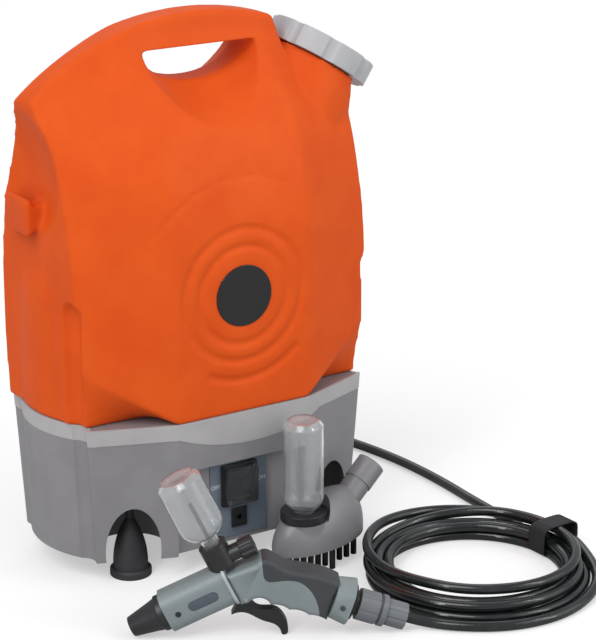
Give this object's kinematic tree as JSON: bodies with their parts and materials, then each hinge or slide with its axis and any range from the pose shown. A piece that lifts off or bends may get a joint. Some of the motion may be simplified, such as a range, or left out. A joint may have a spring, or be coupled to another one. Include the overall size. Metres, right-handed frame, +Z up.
{
  "type": "cordless pressure washer",
  "caption": "Upright battery pressure washer: orange water tank with handle and screw cap on a grey pump base, coiled hose, trigger gun and wash brush.",
  "frame": {"origin": "the point of the floor midway between the machine's four feet", "axes": "+Z up; the control panel faces -Y; the filler cap is towards +X"},
  "size_m": [0.4726, 0.6178, 0.5391],
  "materials": {
    "tank_orange": "blow-moulded polyethylene, satin",
    "base_grey": "moulded, fine texture",
    "trim_light": "moulded, satin",
    "cap_grey": "moulded, satin",
    "badge_black": "bare glossy disc",
    "label_slate": "bare printed plate",
    "black_plastic": "moulded black plastic",
    "boot_clear": "clear soft cover",
    "foot_rubber": "moulded rubber",
    "seal_rubber": "moulded rubber",
    "hose_black": "glossy PVC hose",
    "tie_fabric": "woven strap",
    "gun_grey": "moulded nylon, satin",
    "gun_soft": "soft overmoulded skin",
    "connector_grey": "moulded, satin",
    "bottle_clear": "clear blown bottle",
    "brush_grey": "moulded, satin",
    "bristle_black": "nylon bristle",
    "steel": "turned steel",
    "motor_steel": "plated can",
    "battery_case": "moulded case",
    "inner_nylon": "moulded nylon",
    "inner_hose": "soft tube",
    "foam_grey": "closed-cell foam",
    "board_green": "circuit board"
  },
  "bodies": {
    "machine": {"tank": "tank_orange", "badge_disc": "badge_black", "trim_band": "trim_light", "base_housing": "base_grey", "bottom_cover": "base_grey", "pump_tray": "inner_nylon", "feet": "foot_rubber", "panel_label": "label_slate", "switch_bezel": "black_plastic", "switch_boot": "boot_clear", "charge_socket": "black_plastic", "battery": "battery_case", "battery_pad": "foam_grey", "pump_head": "inner_nylon", "shaft_bearing": "steel", "pump_motor": "motor_steel", "pressure_switch": "inner_nylon", "charge_board": "board_green", "fuse_holder": "black_plastic", "tank_outlet": "inner_nylon", "suction_filter": "inner_nylon", "suction_hose": "inner_hose", "delivery_hose": "inner_hose", "hose_gland": "black_plastic", "gland_nut": "black_plastic", "hose_lead": "hose_black", "hose_coil": "hose_black", "hose_tail": "hose_black", "hose_tie": "tie_fabric", "hose_connector": "connector_grey", "hose_nut": "connector_grey"},
    "cap": {"tank_cap": "cap_grey", "cap_gasket": "seal_rubber"},
    "rocker": {"switch_rocker": "black_plastic"},
    "shaft": {"motor_shaft": "steel"},
    "collar": {"connector_collar": "connector_grey"},
    "gun": {"gun_grip": "gun_grey", "grip_overmould": "gun_soft", "gun_barrel": "gun_grey", "tail_ring": "gun_grey", "tail_seal": "seal_rubber", "gun_adapter": "black_plastic", "trigger_pin": "steel", "dose_valve": "black_plastic"},
    "nozzle": {"spray_nozzle": "black_plastic"},
    "trigger": {"gun_trigger": "black_plastic"},
    "stem": {"valve_stem": "steel"},
    "knob": {"dose_knob": "black_plastic"},
    "detergent_bottle": {"gun_bottle": "bottle_clear"},
    "brush": {"brush_head": "brush_grey", "brush_plate": "brush_grey", "brush_bristles": "bristle_black", "brush_collar": "black_plastic"},
    "soap_bottle": {"brush_bottle": "bottle_clear"}
  },
  "joints": [
    {"name": "cap_lift", "type": "slide", "parent": "machine", "child": "cap", "axis": [0.5446, 0, 0.8387], "range_m": [0, 0.09]},
    {"name": "rocker_tilt", "type": "hinge", "parent": "machine", "child": "rocker", "pos_m": [0, -0.0872, 0.085], "axis": [-1, 0, 0], "range_deg": [0, 18]},
    {"name": "motor_spin", "type": "hinge", "parent": "machine", "child": "shaft", "pos_m": [0, 0.022, 0.128], "axis": [1, 0, 0], "continuous": true},
    {"name": "collar_pull", "type": "slide", "parent": "machine", "child": "collar", "axis": [0.8277, -0.4618, -0.319], "range_m": [0, 0.0022], "stiffness_N_per_m": 800, "springref_m": -0.004},
    {"name": "gun_unplug", "type": "slide", "parent": "machine", "child": "gun", "axis": [-0.8277, 0.4618, 0.319], "range_m": [0, 0.045]},
    {"name": "nozzle_turn", "type": "hinge", "parent": "gun", "child": "nozzle", "pos_m": [-0.13995, -0.19234, 0.0248], "axis": [0.7882, -0.4398, 0.4305], "range_deg": [0, 180]},
    {"name": "trigger_squeeze", "type": "hinge", "parent": "gun", "child": "trigger", "pos_m": [-0.0762, -0.22791, 0.04], "axis": [-0.4872, -0.8733, 0], "range_deg": [0, 14], "stiffness_Nm_per_rad": 0.8, "springref_deg": -11.46},
    {"name": "stem_push", "type": "slide", "parent": "gun", "child": "stem", "axis": [-0.7882, 0.4398, -0.4305], "range_m": [0, 0.0022]},
    {"name": "knob_turn", "type": "hinge", "parent": "gun", "child": "knob", "pos_m": [-0.07961, -0.22601, 0.08435], "axis": [0.7882, -0.4398, 0.4305], "range_deg": [0, 90]},
    {"name": "bottle_off", "type": "slide", "parent": "gun", "child": "detergent_bottle", "axis": [-0.376, 0.2098, 0.9026], "range_m": [0, 0.06]},
    {"name": "brush_lift", "type": "slide", "parent": "machine", "child": "brush", "axis": [0, -0.2588, 0.9659], "range_m": [0, 0.2]},
    {"name": "soap_bottle_off", "type": "slide", "parent": "brush", "child": "soap_bottle", "axis": [0, 0, 1], "range_m": [0, 0.03]}
  ],
  "couplings": [
    {"joint": "stem_push", "follows": "trigger_squeeze", "m_per_rad": 0.009}
  ]
}
